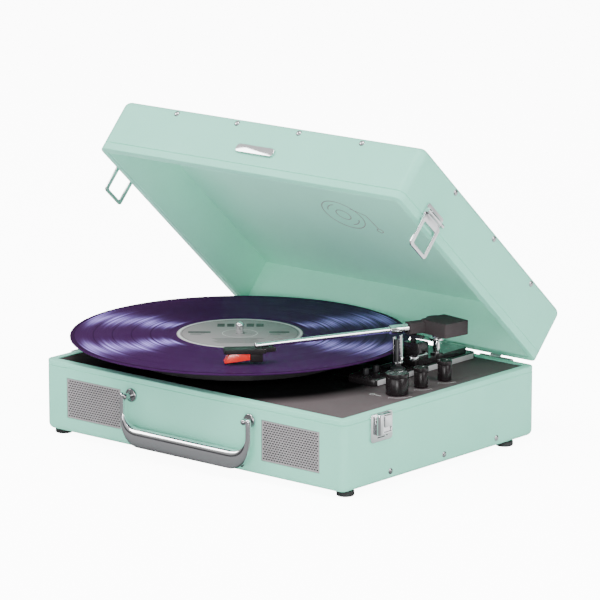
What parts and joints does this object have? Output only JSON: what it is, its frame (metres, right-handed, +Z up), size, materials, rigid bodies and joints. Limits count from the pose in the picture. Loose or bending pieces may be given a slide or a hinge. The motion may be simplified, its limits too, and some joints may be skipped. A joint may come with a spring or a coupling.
{
  "type": "suitcase record player",
  "caption": "Portable belt-drive record player in a hinged carrying case, lid open, with tonearm, knobs, side latches, front grilles and a bail handle.",
  "frame": {"origin": "middle of the open player's bounding box, on the table it stands on", "axes": "+X to the right of someone facing the front, +Y to the back where the lid is hinged, +Z up"},
  "size_m": [0.3758, 0.3338, 0.2844],
  "materials": {
    "covered_case": "wood-fibre board wrapped in matt mint leatherette",
    "lid_lining": "matt mint lining paper",
    "deck": "satin charcoal moulding",
    "rubber": "black rubber",
    "grille": "silver grey woven metal mesh",
    "black_plastic": "black, lightly glossy",
    "knob_plastic": "black, glossy",
    "charcoal_plastic": "satin charcoal",
    "circuit_board": "green laminate",
    "steel": "plated steel",
    "brass": "turned brass",
    "chrome": "bright plated",
    "platter": "aluminium pressing painted satin black",
    "vinyl": "grooved dark purple vinyl with a grey paper label",
    "stylus": "red"
  },
  "bodies": {
    "case": {"case_shell": "covered_case", "deck_plate": "deck", "foot_front_left": "rubber", "foot_front_right": "rubber", "foot_rear_left": "rubber", "foot_rear_right": "rubber", "grille_left": "grille", "grille_right": "grille", "speaker_left": "black_plastic", "speaker_right": "black_plastic", "circuit_board": "circuit_board", "control_bracket": "steel", "socket_plate": "black_plastic", "spindle_bearing": "brass", "motor": "steel", "drive_belt": "rubber", "hinge_case_left": "steel", "hinge_case_right": "steel", "hinge_pin_left": "steel", "hinge_pin_right": "steel", "catch_plate_left": "chrome", "catch_plate_right": "chrome", "handle_post_left": "chrome", "handle_post_right": "chrome", "arm_base": "black_plastic", "arm_turret": "black_plastic", "pivot_post": "chrome", "arm_rest": "black_plastic", "arm_fork": "chrome"},
    "lid": {"lid_shell": "covered_case", "lid_lining": "lid_lining", "name_plate": "chrome", "hinge_lid_left": "steel", "hinge_lid_right": "steel", "hasp_plate_left": "chrome", "hasp_plate_right": "chrome"},
    "loop_left": {"hasp_loop_left": "chrome"},
    "loop_right": {"hasp_loop_right": "chrome"},
    "button_left": {"catch_button_left": "chrome"},
    "button_right": {"catch_button_right": "chrome"},
    "handle": {"handle_bail": "chrome"},
    "turntable": {"platter": "platter", "platter_mat": "rubber", "record": "vinyl", "spindle": "chrome"},
    "rotor": {"motor_pulley": "brass"},
    "arm_carriage": {"arm_gimbal": "chrome", "gimbal_pin": "steel"},
    "tonearm": {"arm_block": "charcoal_plastic", "arm_tube": "chrome", "headshell": "black_plastic", "cartridge": "black_plastic", "stylus": "stylus"},
    "cue_platform": {"cue_platform": "black_plastic"},
    "cue_lever": {"cue_lever": "chrome"},
    "knob_volume": {"knob_volume": "knob_plastic"},
    "knob_tone": {"knob_tone": "knob_plastic"},
    "knob_source": {"knob_source": "knob_plastic"},
    "speed_switch": {"speed_switch": "black_plastic"},
    "auto_stop_switch": {"auto_stop_switch": "black_plastic"}
  },
  "joints": [
    {"name": "lid_hinge", "type": "hinge", "parent": "case", "child": "lid", "pos_m": [0.00752, 0.13532, 0.0659], "axis": [-1, 0, 0], "range_deg": [-11, 50]},
    {"name": "hasp_left_hinge", "type": "hinge", "parent": "lid", "child": "loop_left", "pos_m": [-0.16953, -0.01657, 0.22461], "axis": [0, 0.7373, -0.6756], "range_deg": [0, 110]},
    {"name": "hasp_right_hinge", "type": "hinge", "parent": "lid", "child": "loop_right", "pos_m": [0.18457, -0.01657, 0.22461], "axis": [0, -0.7373, 0.6756], "range_deg": [0, 110]},
    {"name": "catch_left_press", "type": "slide", "parent": "case", "child": "button_left", "axis": [0, 0, -1], "range_m": [0, 0.003], "stiffness_N_per_m": 300},
    {"name": "catch_right_press", "type": "slide", "parent": "case", "child": "button_right", "axis": [0, 0, -1], "range_m": [0, 0.003], "stiffness_N_per_m": 300},
    {"name": "handle_hinge", "type": "hinge", "parent": "case", "child": "handle", "pos_m": [0.00752, -0.13948, 0.052], "axis": [-1, 0, 0], "range_deg": [0, 120]},
    {"name": "platter_spin", "type": "hinge", "parent": "case", "child": "turntable", "pos_m": [-0.03707, -0.01618, 0.0683], "axis": [0, 0, -1], "continuous": true},
    {"name": "motor_spin", "type": "hinge", "parent": "case", "child": "rotor", "pos_m": [-0.09506, 0.0418, 0.0683], "axis": [0, 0, -1], "continuous": true},
    {"name": "arm_swing", "type": "hinge", "parent": "case", "child": "arm_carriage", "pos_m": [0.11703, 0.07062, 0.1063], "axis": [0, 0, 1], "range_deg": [-18, 20.5]},
    {"name": "arm_lift", "type": "hinge", "parent": "arm_carriage", "child": "tonearm", "pos_m": [0.11703, 0.07062, 0.1063], "axis": [-0.9225, 0.3859, 0], "range_deg": [0, 5]},
    {"name": "cue_lever_turn", "type": "hinge", "parent": "case", "child": "cue_lever", "pos_m": [0.12102, 0.04787, 0.0843], "axis": [-1, 0, 0], "range_deg": [0, 60]},
    {"name": "cue_platform_lift", "type": "slide", "parent": "case", "child": "cue_platform", "axis": [0, 0, 1], "range_m": [0, 0.002]},
    {"name": "knob_volume_turn", "type": "hinge", "parent": "case", "child": "knob_volume", "pos_m": [0.15252, -0.02738, 0.0683], "axis": [0, 0, -1], "range_deg": [-150, 150]},
    {"name": "knob_tone_turn", "type": "hinge", "parent": "case", "child": "knob_tone", "pos_m": [0.15252, 0.00512, 0.0683], "axis": [0, 0, -1], "range_deg": [-150, 150]},
    {"name": "knob_source_turn", "type": "hinge", "parent": "case", "child": "knob_source", "pos_m": [0.15252, 0.03762, 0.0683], "axis": [0, 0, -1], "range_deg": [-45, 45]},
    {"name": "speed_switch_slide", "type": "slide", "parent": "case", "child": "speed_switch", "axis": [1, 0, 0], "range_m": [0, 0.0055]},
    {"name": "auto_stop_switch_slide", "type": "slide", "parent": "case", "child": "auto_stop_switch", "axis": [1, 0, 0], "range_m": [0, 0.0055]}
  ],
  "couplings": [
    {"joint": "motor_spin", "follows": "platter_spin", "ratio": 12.6},
    {"joint": "cue_lever_turn", "follows": "arm_lift", "ratio": 11.9},
    {"joint": "cue_platform_lift", "follows": "arm_lift", "m_per_rad": 0.0225}
  ]
}
